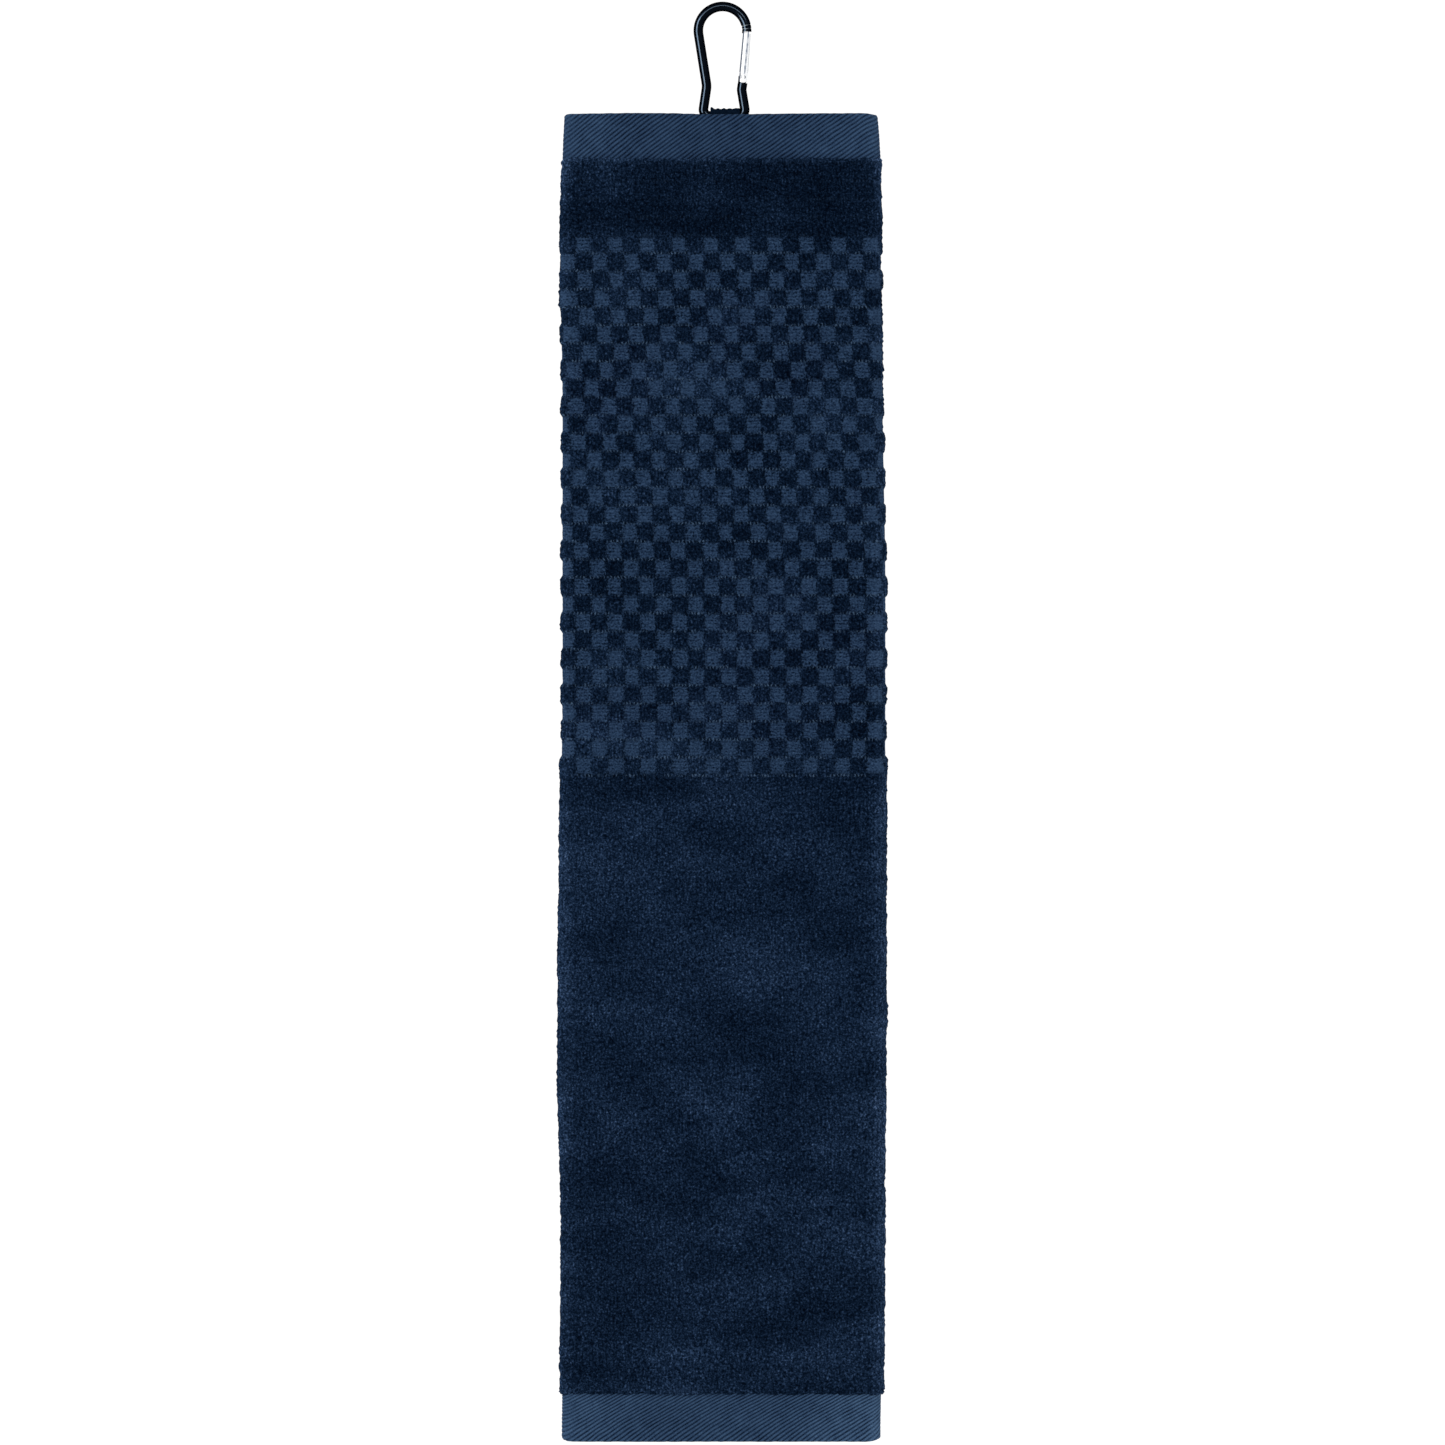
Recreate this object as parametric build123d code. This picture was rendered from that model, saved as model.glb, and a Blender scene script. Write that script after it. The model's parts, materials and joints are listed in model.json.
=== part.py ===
from build123d import *
import os
from math import acos, atan2, cos, hypot, radians, sin, sqrt

# Tri-fold golf towel on a small snap carabiner. Millimetres, +Z up, +X to the right of someone who
# looks at the towel's front, and the front faces -Y. The origin is the inner top of the carabiner's
# bend, the point that rests on the ring or strap it is clipped to.

# ---- Carabiner body: one bent aluminium rod -------------------------------------------------
ROD_R = 2.0                     # rod radius
BEND_R = 10.0                   # centreline radius of the top bend
BEND_Z = -(BEND_R - ROD_R)      # height of the bend's centre
BAR_Z = -43.3                   # centreline height of the bottom bar, which carries the towel
WAIST = (-6.5, -31.0)           # x, z where the long leg turns back outwards
BAR_LEFT_X = -8.3               # where the legs' lines meet the bar's line
BAR_RIGHT_X = 9.7
KINK = (7.9, -32.5)             # x, z of the short leg's turn below the gate
WAIST_R = 8.0
CORNER_R = 2.6
KINK_R = 3.0
GROOVE_ANGLES = (4.4, 12.6)     # two turned grooves on the nose, in degrees round the bend
GROOVE_DEPTH = 0.16
GROOVE_WIDTH = 0.42
EMBED = 1.0                     # how far joined shapes run into each other before they are fused
LUG_EMBED = 0.3

# ---- Gate, in its own frame: local origin on the hinge pin, local +Z along the gate ---------
PIVOT = (8.6, -27.3)            # x, z of the hinge pin
GATE_TILT = 4.57                # degrees from vertical, top outwards
GATE_R_LOW = 1.85
GATE_R_HIGH = 1.58
GATE_FOOT = 2.3                 # gate's lower end, a radius about the pin
SHOULDER = 2.45                 # body's shoulder, below the pin
GATE_TOP = 18.05                # where the round gate ends and its tongue begins
TONGUE_TOP = 20.6
TONGUE_X = (-1.5, 0.9)
TONGUE_HALF = 0.6               # half thickness of tongue and of the hinge tang
SLOT_HALF = 0.7                 # half width of the slots that take them
NOSE_FACE = 19.0                # nose's end face, above the pin
NOSE_SLOT_TOP = 21.2
NOSE_SLOT_X = 1.05
LUG_FOOT = 18.2                 # two small lugs that guard the nose slot's mouth
LUG_X = -1.4
NOSE_X = -0.11                  # nose axis in the gate's frame
TANG_HALF = 1.3
TANG_BACK = 2.0
TANG_HEEL = 0.4
SLOT_TOP = 2.1
PIN_R = 0.6
PIN_CLEARANCE = 0.05
PIN_HEAD_R = 1.0
PIN_HEAD_Y = 1.3
PIN_HALF_LENGTH = 1.75
BORE_R = 1.0
BORE_BOTTOM = 1.2
BORE_TOP = 9.0
PLUNGER_FOOT = 1.35
PLUNGER_HEAD = 2.0
PLUNGER_CLEARANCE = 0.05
STEM_R = 0.4
STEM_TOP = 6.0
SPRING_WIRE_R = 0.15
SPRING_R = 0.72
SPRING_TURNS = 8

# ---- Towel: one woven cloth, folded in three behind its middle panel -------------------------
TOP_Z = -42.5                   # top edge of the hem
TOP_HEM = 18.0                  # height of the top hem
BOTTOM_HEM = 20.0
BOTTOM_Z = -592.0
PILE_T = 3.6                    # cloth with its velour pile
HEM_T = 2.2                     # flat woven hem, folded double
SIDE_HEM_T = 2.6
SIDE_HEM_W = 7.0
MIDDLE_Y = -4.25                # mid-thickness of the three layers
INNER_Y = -0.35
OUTER_Y = 3.55
LEFT_X = -63.55                 # where the pile layers turn into the two folds
RIGHT_X = 61.6
HEM_LEFT_X = -62.6              # the thinner hems fold a little tighter
HEM_RIGHT_X = 60.4
INNER_EDGE_X = 60.0             # free side edge of each flap
OUTER_EDGE_X = -65.0
FOLD_SPLIT = 5.0                # half the gap at the right fold's crest, in degrees
BOW_SAG = 5.2                   # both flaps bow back at the top to clear the carabiner
BOW_END_Z = -130.0

# ---- Hanging loop and threads ----------------------------------------------------------------
TAPE_T = 0.9
TAPE_IN_R = 2.25                # inside radius round the carabiner's bar
TAPE_X = (-4.9, 6.6)
TAPE_FOOT_Z = -58.0
TAPE_JOIN_Z = -51.5             # below this the two legs lie flat together
THREAD_T = 0.3
THREAD_W = 0.45
SEAM_INSET = 1.6                # seam line from the hem's inner edge
LOOP_SEAMS_Z = (-53.2, -57.0)
STITCHES = 5
STITCH_L = 1.7

PILE_TOP_Z = TOP_Z - TOP_HEM
PILE_BOTTOM_Z = BOTTOM_Z + BOTTOM_HEM

os.makedirs("parts", exist_ok=True)
gate_frame = Pos(PIVOT[0], 0, PIVOT[1]) * Rot(0, GATE_TILT, 0)


def save(node, shape):
    """Write one node as its own STEP file."""
    export_step(shape, f"parts/{node}.step")


def block(x0, x1, y0, y1, z0, z1):
    """Box between two corners."""
    size = Box(x1 - x0, y1 - y0, z1 - z0)
    return Pos((x0 + x1) / 2, (y0 + y1) / 2, (z0 + z1) / 2) * size


def post(radius, z0, z1, x=0.0):
    """Round post along Z."""
    return Pos(x, 0, (z0 + z1) / 2) * Cylinder(radius, z1 - z0)


def crosspin(radius, y0, y1):
    """Round pin along Y, on the local origin."""
    return Pos(0, (y0 + y1) / 2, 0) * Rot(90, 0, 0) * Cylinder(radius, y1 - y0)


def sector(centre, r_in, r_out, start, end, z0, z1):
    """Upright wall that bends round a vertical axis from one angle to another, in degrees."""
    cx, cy = centre
    a, b = radians(start), radians(end)
    inner = CenterArc((cx, cy, z0), r_in, start, end - start)
    outer = CenterArc((cx, cy, z0), r_out, start, end - start)
    ends = [
        Line((cx + r_in * cos(t), cy + r_in * sin(t), z0), (cx + r_out * cos(t), cy + r_out * sin(t), z0))
        for t in (a, b)
    ]
    return extrude(make_face([inner, outer, *ends]), z1 - z0, dir=(0, 0, 1))


# ---- Carabiner -------------------------------------------------------------------------------
def rod_path():
    """Centreline of the bent rod, from the nose over the bend and round to the hinge shoulder."""
    dx, dz = WAIST[0], WAIST[1] - BEND_Z
    slant = atan2(-dz, -dx) - acos(BEND_R / hypot(dx, dz))
    leave = (-BEND_R * cos(slant), 0, BEND_Z - BEND_R * sin(slant))
    nose = Line((BEND_R, 0, BEND_Z - ROD_R), (BEND_R, 0, BEND_Z))
    bend = ThreePointArc((BEND_R, 0, BEND_Z), (0, 0, BEND_Z + BEND_R), leave)
    tilt = radians(GATE_TILT)
    reach = SHOULDER - EMBED
    end = (PIVOT[0] - reach * sin(tilt), 0, PIVOT[1] - reach * cos(tilt))
    corners = [
        leave,
        (WAIST[0], 0, WAIST[1]),
        (BAR_LEFT_X, 0, BAR_Z),
        (BAR_RIGHT_X, 0, BAR_Z),
        (KINK[0], 0, KINK[1]),
        end,
    ]
    legs = FilletPolyline(*corners, radius=[WAIST_R, CORNER_R, CORNER_R, KINK_R])
    return Wire([*nose.edges(), *bend.edges(), *legs.edges()])


def nose_groove(angle):
    """Shallow ring cut square to the rod, at an angle up the bend from its nose end."""
    ring = Cylinder(ROD_R + EMBED, GROOVE_WIDTH) - Cylinder(ROD_R - GROOVE_DEPTH, GROOVE_WIDTH)
    a = radians(angle)
    return Pos(BEND_R * cos(a), 0, BEND_Z + BEND_R * sin(a)) * Rot(0, -angle, 0) * ring


def carabiner_body():
    path = rod_path()
    rod = sweep(Plane(path @ 0, z_dir=path % 0) * Circle(ROD_R), path)
    for angle in GROOVE_ANGLES:
        rod -= nose_groove(angle)
    # Square ends for the gate, then the slot in the nose.
    wide = 2 * ROD_R
    rod -= gate_frame * block(-wide, wide, -wide, wide, -SHOULDER, NOSE_FACE)
    rod -= gate_frame * block(-wide, NOSE_SLOT_X, -SLOT_HALF, SLOT_HALF, NOSE_FACE - EMBED, NOSE_SLOT_TOP)
    lugs = post(ROD_R, LUG_FOOT, NOSE_FACE + LUG_EMBED, NOSE_X)
    lugs &= block(-wide, LUG_X, -wide, wide, 0, NOSE_SLOT_TOP)
    lugs -= block(-wide, 0, -SLOT_HALF, SLOT_HALF, 0, NOSE_SLOT_TOP)
    root = -SHOULDER - EMBED
    tang = block(-TANG_HALF, TANG_HALF, -TONGUE_HALF, TONGUE_HALF, root, TANG_HALF)
    tang += block(-TANG_BACK, 0, -TONGUE_HALF, TONGUE_HALF, root, TANG_HEEL)
    tang -= crosspin(PIN_R + PIN_CLEARANCE, -SLOT_HALF, SLOT_HALF)
    return rod + gate_frame * lugs + gate_frame * tang


def carabiner_gate():
    length = GATE_TOP + GATE_FOOT
    barrel = Pos(0, 0, GATE_TOP - length / 2) * Cone(GATE_R_LOW, GATE_R_HIGH, length)
    wide = 2 * GATE_R_LOW
    foot = crosspin(GATE_FOOT, -wide, wide) + block(-wide, wide, -wide, wide, 0, GATE_TOP)
    gate = barrel & foot
    gate += block(*TONGUE_X, -TONGUE_HALF, TONGUE_HALF, GATE_TOP - EMBED, TONGUE_TOP)
    gate -= block(-wide, wide, -SLOT_HALF, SLOT_HALF, -wide, SLOT_TOP)
    gate -= post(BORE_R, BORE_BOTTOM, BORE_TOP)
    gate -= hinge_pin()
    return gate_frame * gate


def hinge_pin():
    """Rivet with a flush head at each side of the gate, in the gate's frame."""
    pin = crosspin(PIN_R, -PIN_HALF_LENGTH, PIN_HALF_LENGTH)
    for side in (-1, 1):
        ends = sorted((side * PIN_HEAD_Y, side * PIN_HALF_LENGTH))
        pin += crosspin(PIN_HEAD_R, *ends)
    return pin


def gate_plunger():
    """Headed pin that the spring pushes down on the tang, so the gate snaps shut."""
    head_top = PLUNGER_FOOT + PLUNGER_HEAD
    head = post(BORE_R - PLUNGER_CLEARANCE, PLUNGER_FOOT, head_top)
    return gate_frame * (head + post(STEM_R, head_top, STEM_TOP))


def gate_spring():
    low = PLUNGER_FOOT + PLUNGER_HEAD + SPRING_WIRE_R
    height = BORE_TOP - SPRING_WIRE_R - low
    coil = Helix(height / SPRING_TURNS, height, SPRING_R)
    wire = sweep(Plane(coil @ 0, z_dir=coil % 0) * Circle(SPRING_WIRE_R), coil, is_frenet=True)
    return gate_frame * Pos(0, 0, low) * wire


# ---- Cloth -----------------------------------------------------------------------------------
def bow(x):
    """How far back the bowed flaps stand at x, on one arc over the folded towel's width."""
    half = (RIGHT_X - LEFT_X) / 2
    radius = (half**2 + BOW_SAG**2) / (2 * BOW_SAG)
    middle = (RIGHT_X + LEFT_X) / 2
    return sqrt(radius**2 - (x - middle) ** 2) - radius + BOW_SAG


def layer_face(x0, x1, y, thickness, z, bowed):
    """Level cut through a layer of cloth: straight, or on the bow's arc."""
    sides = []
    for face_y in (y - thickness / 2, y + thickness / 2):
        if bowed:
            points = [(x, face_y + bow(x), z) for x in (x0, (x0 + x1) / 2, x1)]
            sides.append(ThreePointArc(*points))
        else:
            sides.append(Line((x0, face_y, z), (x1, face_y, z)))
    near, far = sides
    return make_face([near, far, Line(near @ 0, far @ 0), Line(near @ 1, far @ 1)])


def strip(x0, x1, y, thickness, z0, z1, bowed=False):
    """Upright strip of cloth between two heights."""
    return extrude(layer_face(x0, x1, y, thickness, z0, bowed), z1 - z0, dir=(0, 0, 1))


def hanging_layer(x0, x1, y, thickness):
    """Layer that is bowed back at the top hem and falls straight lower down."""
    low = layer_face(x0, x1, y, thickness, BOW_END_Z, bowed=False)
    high = layer_face(x0, x1, y, thickness, PILE_TOP_Z, bowed=True)
    return loft([low, high], ruled=True) + strip(x0, x1, y, thickness, PILE_BOTTOM_Z, BOW_END_Z)


def left_fold(x, thickness, z0, z1):
    """Half-round turn from the middle panel into the inner flap."""
    radius = (INNER_Y - MIDDLE_Y) / 2
    centre = (x, (INNER_Y + MIDDLE_Y) / 2)
    return sector(centre, radius - thickness / 2, radius + thickness / 2, 90, 270, z0, z1)


def right_fold(x, thickness, start, end, z0, z1):
    """Part of the wider turn from the middle panel into the outer flap."""
    radius = (OUTER_Y - MIDDLE_Y) / 2
    centre = (x, (OUTER_Y + MIDDLE_Y) / 2)
    return sector(centre, radius - thickness / 2, radius + thickness / 2, start, end, z0, z1)


def middle_strip(left, right, thickness, z0, z1):
    """Middle panel with the front half of the right fold."""
    fold = right_fold(right, thickness, -90, -FOLD_SPLIT, z0, z1)
    return strip(left, right, MIDDLE_Y, thickness, z0, z1) + fold


def outer_fold(right, thickness, z0, z1):
    """Back half of the right fold, which swings open with the outer flap."""
    return right_fold(right, thickness, FOLD_SPLIT, 90, z0, z1)


def make_pile():
    """The velour cloth: middle panel, its left fold, and the two flaps behind."""
    span = (PILE_BOTTOM_Z, PILE_TOP_Z)
    save("middle_panel", middle_strip(LEFT_X, RIGHT_X, PILE_T, *span))
    save("left_fold", left_fold(LEFT_X, PILE_T, *span))
    inner_side = INNER_EDGE_X - SIDE_HEM_W
    outer_side = OUTER_EDGE_X + SIDE_HEM_W
    save("inner_flap", hanging_layer(LEFT_X, inner_side, INNER_Y, PILE_T))
    flap = hanging_layer(outer_side, RIGHT_X, OUTER_Y, PILE_T)
    save("outer_flap", flap + outer_fold(RIGHT_X, PILE_T, *span))
    save("inner_side_hem", hanging_layer(inner_side, INNER_EDGE_X, INNER_Y, SIDE_HEM_T))
    save("outer_side_hem", hanging_layer(OUTER_EDGE_X, outer_side, OUTER_Y, SIDE_HEM_T))
    # Seam threads lie on the cloth's inner face, which faces the front on both flaps.
    lift = (SIDE_HEM_T + THREAD_T) / 2
    seam = inner_side + SEAM_INSET
    save("inner_side_seam", hanging_layer(seam, seam + THREAD_W, INNER_Y - lift, THREAD_T))
    seam = outer_side - SEAM_INSET - THREAD_W
    save("outer_side_seam", hanging_layer(seam, seam + THREAD_W, OUTER_Y - lift, THREAD_T))


def make_hem(name, z0, z1, seam_z, bowed):
    """One flat woven end hem, round both folds, with its seam threads."""
    save(f"{name}_middle", middle_strip(HEM_LEFT_X, HEM_RIGHT_X, HEM_T, z0, z1))
    save(f"{name}_left_fold", left_fold(HEM_LEFT_X, HEM_T, z0, z1))
    save(f"{name}_inner", strip(HEM_LEFT_X, INNER_EDGE_X, INNER_Y, HEM_T, z0, z1, bowed))
    flap = strip(OUTER_EDGE_X, HEM_RIGHT_X, OUTER_Y, HEM_T, z0, z1, bowed)
    save(f"{name}_outer", flap + outer_fold(HEM_RIGHT_X, HEM_T, z0, z1))
    lift = (HEM_T + THREAD_T) / 2
    seam = (seam_z, seam_z + THREAD_W)
    middle = strip(HEM_LEFT_X, HEM_RIGHT_X, MIDDLE_Y + lift, THREAD_T, *seam)
    inner = strip(HEM_LEFT_X, INNER_EDGE_X, INNER_Y - lift, THREAD_T, *seam, bowed)
    save(f"{name}_seam", Compound(children=[middle, inner]))
    outer = strip(OUTER_EDGE_X, HEM_RIGHT_X, OUTER_Y - lift, THREAD_T, *seam, bowed)
    save(f"{name}_outer_seam", outer)


# ---- Hanging loop ----------------------------------------------------------------------------
def hang_loop():
    """Woven tape over the carabiner's bar, both ends sewn to the back of the middle hem."""
    out_r = TAPE_IN_R + TAPE_T
    joined = MIDDLE_Y + HEM_T / 2 + 2 * TAPE_T
    turn = BAR_Z - TAPE_T
    outline = [
        (0, -out_r, BAR_Z),
        (0, -out_r, TAPE_FOOT_Z),
        (0, joined, TAPE_FOOT_Z),
        (0, joined, TAPE_JOIN_Z),
        (0, out_r, turn),
        (0, out_r, BAR_Z),
    ]
    eye = [
        (0, -TAPE_IN_R, BAR_Z),
        (0, -TAPE_IN_R, TAPE_JOIN_Z + TAPE_T),
        (0, TAPE_IN_R, turn),
        (0, TAPE_IN_R, BAR_Z),
    ]
    faces = []
    for corners, radius in ((outline, out_r), (eye, TAPE_IN_R)):
        over = ThreePointArc(corners[-1], (0, 0, BAR_Z + radius), corners[0])
        faces.append(make_face([*Polyline(*corners).edges(), over]))
    band, hole = faces
    width = TAPE_X[1] - TAPE_X[0]
    tape = extrude(band, width, dir=(1, 0, 0)) - extrude(hole, width, dir=(1, 0, 0))
    return Pos(TAPE_X[0], 0, 0) * tape


def loop_stitching():
    """Two rows of stitches that hold the loop's legs together and to the hem."""
    y = MIDDLE_Y + HEM_T / 2 + 2 * TAPE_T
    pitch = (TAPE_X[1] - TAPE_X[0]) / STITCHES
    stitches = []
    for seam_z in LOOP_SEAMS_Z:
        for i in range(STITCHES):
            x = TAPE_X[0] + (i + 0.5) * pitch
            stitches.append(
                block(x - STITCH_L / 2, x + STITCH_L / 2, y, y + THREAD_T, seam_z, seam_z + THREAD_W)
            )
    return Compound(children=stitches)


save("carabiner_body", carabiner_body())
save("carabiner_gate", carabiner_gate())
save("gate_hinge_pin", gate_frame * hinge_pin())
save("gate_plunger", gate_plunger())
save("gate_spring", gate_spring())
save("hang_loop", hang_loop())
save("loop_stitching", loop_stitching())
make_pile()
make_hem("top_hem", PILE_TOP_Z, TOP_Z, PILE_TOP_Z + SEAM_INSET, bowed=True)
make_hem("bottom_hem", BOTTOM_Z, PILE_BOTTOM_Z, PILE_BOTTOM_Z - SEAM_INSET - THREAD_W, bowed=False)
print("towel", round(TOP_Z - BOTTOM_Z, 1), "long; bar to towel foot", round(BAR_Z - BOTTOM_Z, 1))
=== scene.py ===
import json
import math

import bpy
import numpy as np
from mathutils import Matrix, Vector


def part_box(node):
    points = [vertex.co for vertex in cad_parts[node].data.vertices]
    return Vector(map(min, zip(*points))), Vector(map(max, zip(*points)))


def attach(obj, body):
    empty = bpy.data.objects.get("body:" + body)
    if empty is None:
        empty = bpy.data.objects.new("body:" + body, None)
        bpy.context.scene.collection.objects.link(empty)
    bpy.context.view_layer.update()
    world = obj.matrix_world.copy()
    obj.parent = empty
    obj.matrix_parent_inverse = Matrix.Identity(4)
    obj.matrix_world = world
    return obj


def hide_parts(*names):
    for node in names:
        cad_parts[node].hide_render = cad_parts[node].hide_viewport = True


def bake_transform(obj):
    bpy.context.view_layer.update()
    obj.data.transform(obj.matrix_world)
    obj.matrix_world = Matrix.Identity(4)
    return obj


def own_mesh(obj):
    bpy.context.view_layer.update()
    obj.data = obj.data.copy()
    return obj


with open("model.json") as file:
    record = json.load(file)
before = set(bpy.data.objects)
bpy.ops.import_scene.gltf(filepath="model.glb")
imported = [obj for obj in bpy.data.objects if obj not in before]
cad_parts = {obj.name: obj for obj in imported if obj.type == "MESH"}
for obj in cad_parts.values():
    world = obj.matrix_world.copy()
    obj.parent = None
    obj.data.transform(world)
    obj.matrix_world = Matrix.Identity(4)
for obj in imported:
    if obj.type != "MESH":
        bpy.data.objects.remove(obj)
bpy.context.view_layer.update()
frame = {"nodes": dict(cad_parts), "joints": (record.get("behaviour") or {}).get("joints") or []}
MM = 0.001
PI = math.pi

# ---- Camera: level, in front of the towel, with the whole of it just inside the frame --------
FRAME_WIDTH = 0.5975            # metres across the picture at the towel's front
VIEW_Z = -0.29443
LENS = 300.0
SENSOR = 36.0
FRONT_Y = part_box("middle_panel")[0].y

lens = bpy.data.cameras.new("camera")
lens.lens = LENS
lens.sensor_width = SENSOR
camera = bpy.data.objects.new("camera", lens)
bpy.context.scene.collection.objects.link(camera)
camera.location = (0, FRONT_Y - FRAME_WIDTH * LENS / SENSOR, VIEW_Z)
camera.rotation_euler = (PI / 2, 0, 0)
bpy.context.scene.camera = camera


# ---- Layout of the folded cloth, read from the frame, in millimetres -------------------------
def corners(node):
    low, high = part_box(node)
    return np.array(low) / MM, np.array(high) / MM


def joint(name):
    return next(j for j in frame["joints"] if j["name"] == name)


left_fold = corners("left_fold")
hem_fold = corners("top_hem_left_fold")
hinge = joint("outer_flap_fold")["pos_m"]
HINGE_X, HINGE_Y = hinge[0] / MM, hinge[1] / MM
FOLD_SPLIT = math.radians(5)    # the CAD halves of the right fold stop this short of its crest
PILE_T = left_fold[1][1] - corners("inner_flap")[0][1]
MIDDLE_Y = left_fold[0][1] + PILE_T / 2
INNER_Y = left_fold[1][1] - PILE_T / 2
R_LEFT = (INNER_Y - MIDDLE_Y) / 2
R_RIGHT = HINGE_Y - MIDDLE_Y
LEFT_X = left_fold[1][0]
RIGHT_X = HINGE_X - PI / 2 * R_RIGHT
HEM_T = hem_fold[1][1] - hem_fold[0][1] - 2 * R_LEFT
HEM_LEFT_X = hem_fold[1][0]
HEM_RIGHT_X = corners("top_hem_middle")[1][0] - (R_RIGHT + HEM_T / 2) * math.cos(FOLD_SPLIT)
INNER_EDGE_X = corners("inner_side_hem")[1][0]
INNER_SIDE_X = corners("inner_side_hem")[0][0]
OUTER_EDGE_X = corners("outer_side_hem")[0][0]
OUTER_SIDE_X = corners("outer_side_hem")[1][0]
SIDE_T = 2.6                    # thickness of the side hems
TOP_Z = hem_fold[1][2]
PILE_TOP = left_fold[1][2]
PILE_BOTTOM = left_fold[0][2]
BOTTOM_Z = corners("bottom_hem_middle")[0][2]
BOW_SAG = corners("top_hem_inner")[1][1] - INNER_Y - HEM_T / 2
BOW_END = -130.0                # the flaps hang flat again from this height down

# ---- Woven pattern ---------------------------------------------------------------------------
BAND_TOP = -92.8                # band of small squares, in rows of pile and flat weave
ROW = 7.45
ROWS = 30
COLUMN = 6.65
FIRST_X = -61.08
DRIFT = 6.8                     # the columns lean to the right further down
FLAT_DEPTH = 0.8                # flat squares lie this far below the pile
PILE_STEP = 0.92                # columns of points on the face are this far apart
PLAIN_STEP = 1.05               # rows of points on the face, outside the band
BACK_STEP = 4.5                 # rows of points on the back
TUFT_SPREAD = 0.19              # how unevenly the tufts stand
TOP_LIP = -0.45                 # how far the pile leans over the top hem, and over the bottom hem
BOTTOM_LIP = 0.3
LIP_DEPTH = 3.2                 # rows are closer together this near to the pile's ends
RIM = 0.95                      # height of the pile at its very ends
CURL_REACH = 1.8                # it rises to its full height over this distance
TUFT_COLUMNS = COLUMN / 1.42    # upright columns of tufts in the width of a square
TWILL_STEP = 0.25
TWILL_DEPTH = 0.26
HALF_WAY_Z = -300.0             # tells the top of the towel from the bottom


def noise(seed, x, y, cell):
    """Smooth random field from -1 to 1 with one value per cell."""
    table = np.random.default_rng(seed).uniform(-1, 1, (128, 128))
    gx, gy = np.broadcast_arrays(np.asarray(x, float) / cell, np.asarray(y, float) / cell)
    ix, iy = np.floor(gx).astype(int), np.floor(gy).astype(int)
    fx, fy = gx - ix, gy - iy
    fx, fy = fx * fx * (3 - 2 * fx), fy * fy * (3 - 2 * fy)
    low = table[ix % 128, iy % 128] * (1 - fx) + table[(ix + 1) % 128, iy % 128] * fx
    high = table[ix % 128, (iy + 1) % 128] * (1 - fx) + table[(ix + 1) % 128, (iy + 1) % 128] * fx
    return low * (1 - fy) + high * fy


def ease(value, low, high):
    t = np.clip((value - low) / (high - low), 0, 1)
    return t * t * (3 - 2 * t)


# How the two folds wander in and out, in millimetres: (height, shift of the edge).
LEFT_EDGE = ((-61, 1.0), (-82, 0), (-116, -0.5), (-160, 0.3), (-285, 0.3), (-395, -1.1),
             (-447, -1.2), (-492, 0.3), (-571, -0.4))
RIGHT_EDGE = ((-61, -0.6), (-68, -1.8), (-85, -0.95), (-130, -0.9), (-231, 1.0), (-409, 0.8),
              (-480, 0.25), (-571, -0.2))
HEM_LEFT_EDGE = ((-43, 0.1), (-60, -0.5), (-572, -0.7), (-592, -0.9))
HEM_RIGHT_EDGE = ((-43, -1.3), (-52, -0.4), (-60, 0.1), (-572, 0.3), (-592, 0.05))


def edge_shift(table, z):
    heights, shifts = zip(*reversed(table))
    return np.interp(z, heights, shifts)


def settle(x, y, z, left_edge, right_edge):
    """The way the whole folded towel hangs: its edges wander a little and its layers wave together."""
    across = np.clip((x - LEFT_X) / (RIGHT_X - LEFT_X), 0, 1)
    x = x + edge_shift(left_edge, z) * (1 - across) + edge_shift(right_edge, z) * across
    wave = 0.4 + 0.28 * noise(3, x + 300, z, 85) + 0.12 * noise(4, x + 300, z, 37)
    return np.stack([x, y + wave * ease(-z, 62, 150), z], -1)


class Fold:
    """The cloth's way round its layers, seen from above. s is the distance along it, and equals x on
    the front; it runs left into the inner flap, and right into the outer flap."""

    def __init__(self, left, right):
        self.left = left
        self.right = right
        self.inner_start = left - PI * R_LEFT
        self.outer_start = right + PI * R_RIGHT

    def inner(self, x):
        return self.inner_start - (x - self.left)

    def outer(self, x):
        return self.outer_start + (self.right - x)

    def points(self, s, z, off, edges):
        """Points at distance s and height z, off the cloth's middle by off, face side positive."""
        radius = np.where(s < 0, R_LEFT, R_RIGHT)
        turned = np.clip((s - self.right) / R_RIGHT, 0, PI) - np.clip((self.left - s) / R_LEFT, 0, PI)
        way = turned - PI / 2
        past = np.maximum(self.inner_start - s, 0) - np.maximum(s - self.outer_start, 0)
        x = np.clip(s, self.left, self.right) + radius * np.cos(way) + past
        y = MIDDLE_Y + radius + radius * np.sin(way)
        middle, half = (LEFT_X + RIGHT_X) / 2, (RIGHT_X - LEFT_X) / 2
        bow = BOW_SAG * (1 - ((x - middle) / half) ** 2) * (past != 0)
        y = y + bow * ease(z, BOW_END, PILE_TOP) + np.sin(way) * off
        x = x + np.cos(way) * off
        return settle(*np.broadcast_arrays(x, y, z), *edges)


PILE_FOLD = Fold(LEFT_X, RIGHT_X)
HEM_FOLD = Fold(HEM_LEFT_X, HEM_RIGHT_X)
PILE_EDGES = (LEFT_EDGE, RIGHT_EDGE)
HEM_EDGES = (HEM_LEFT_EDGE, HEM_RIGHT_EDGE)


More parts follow.
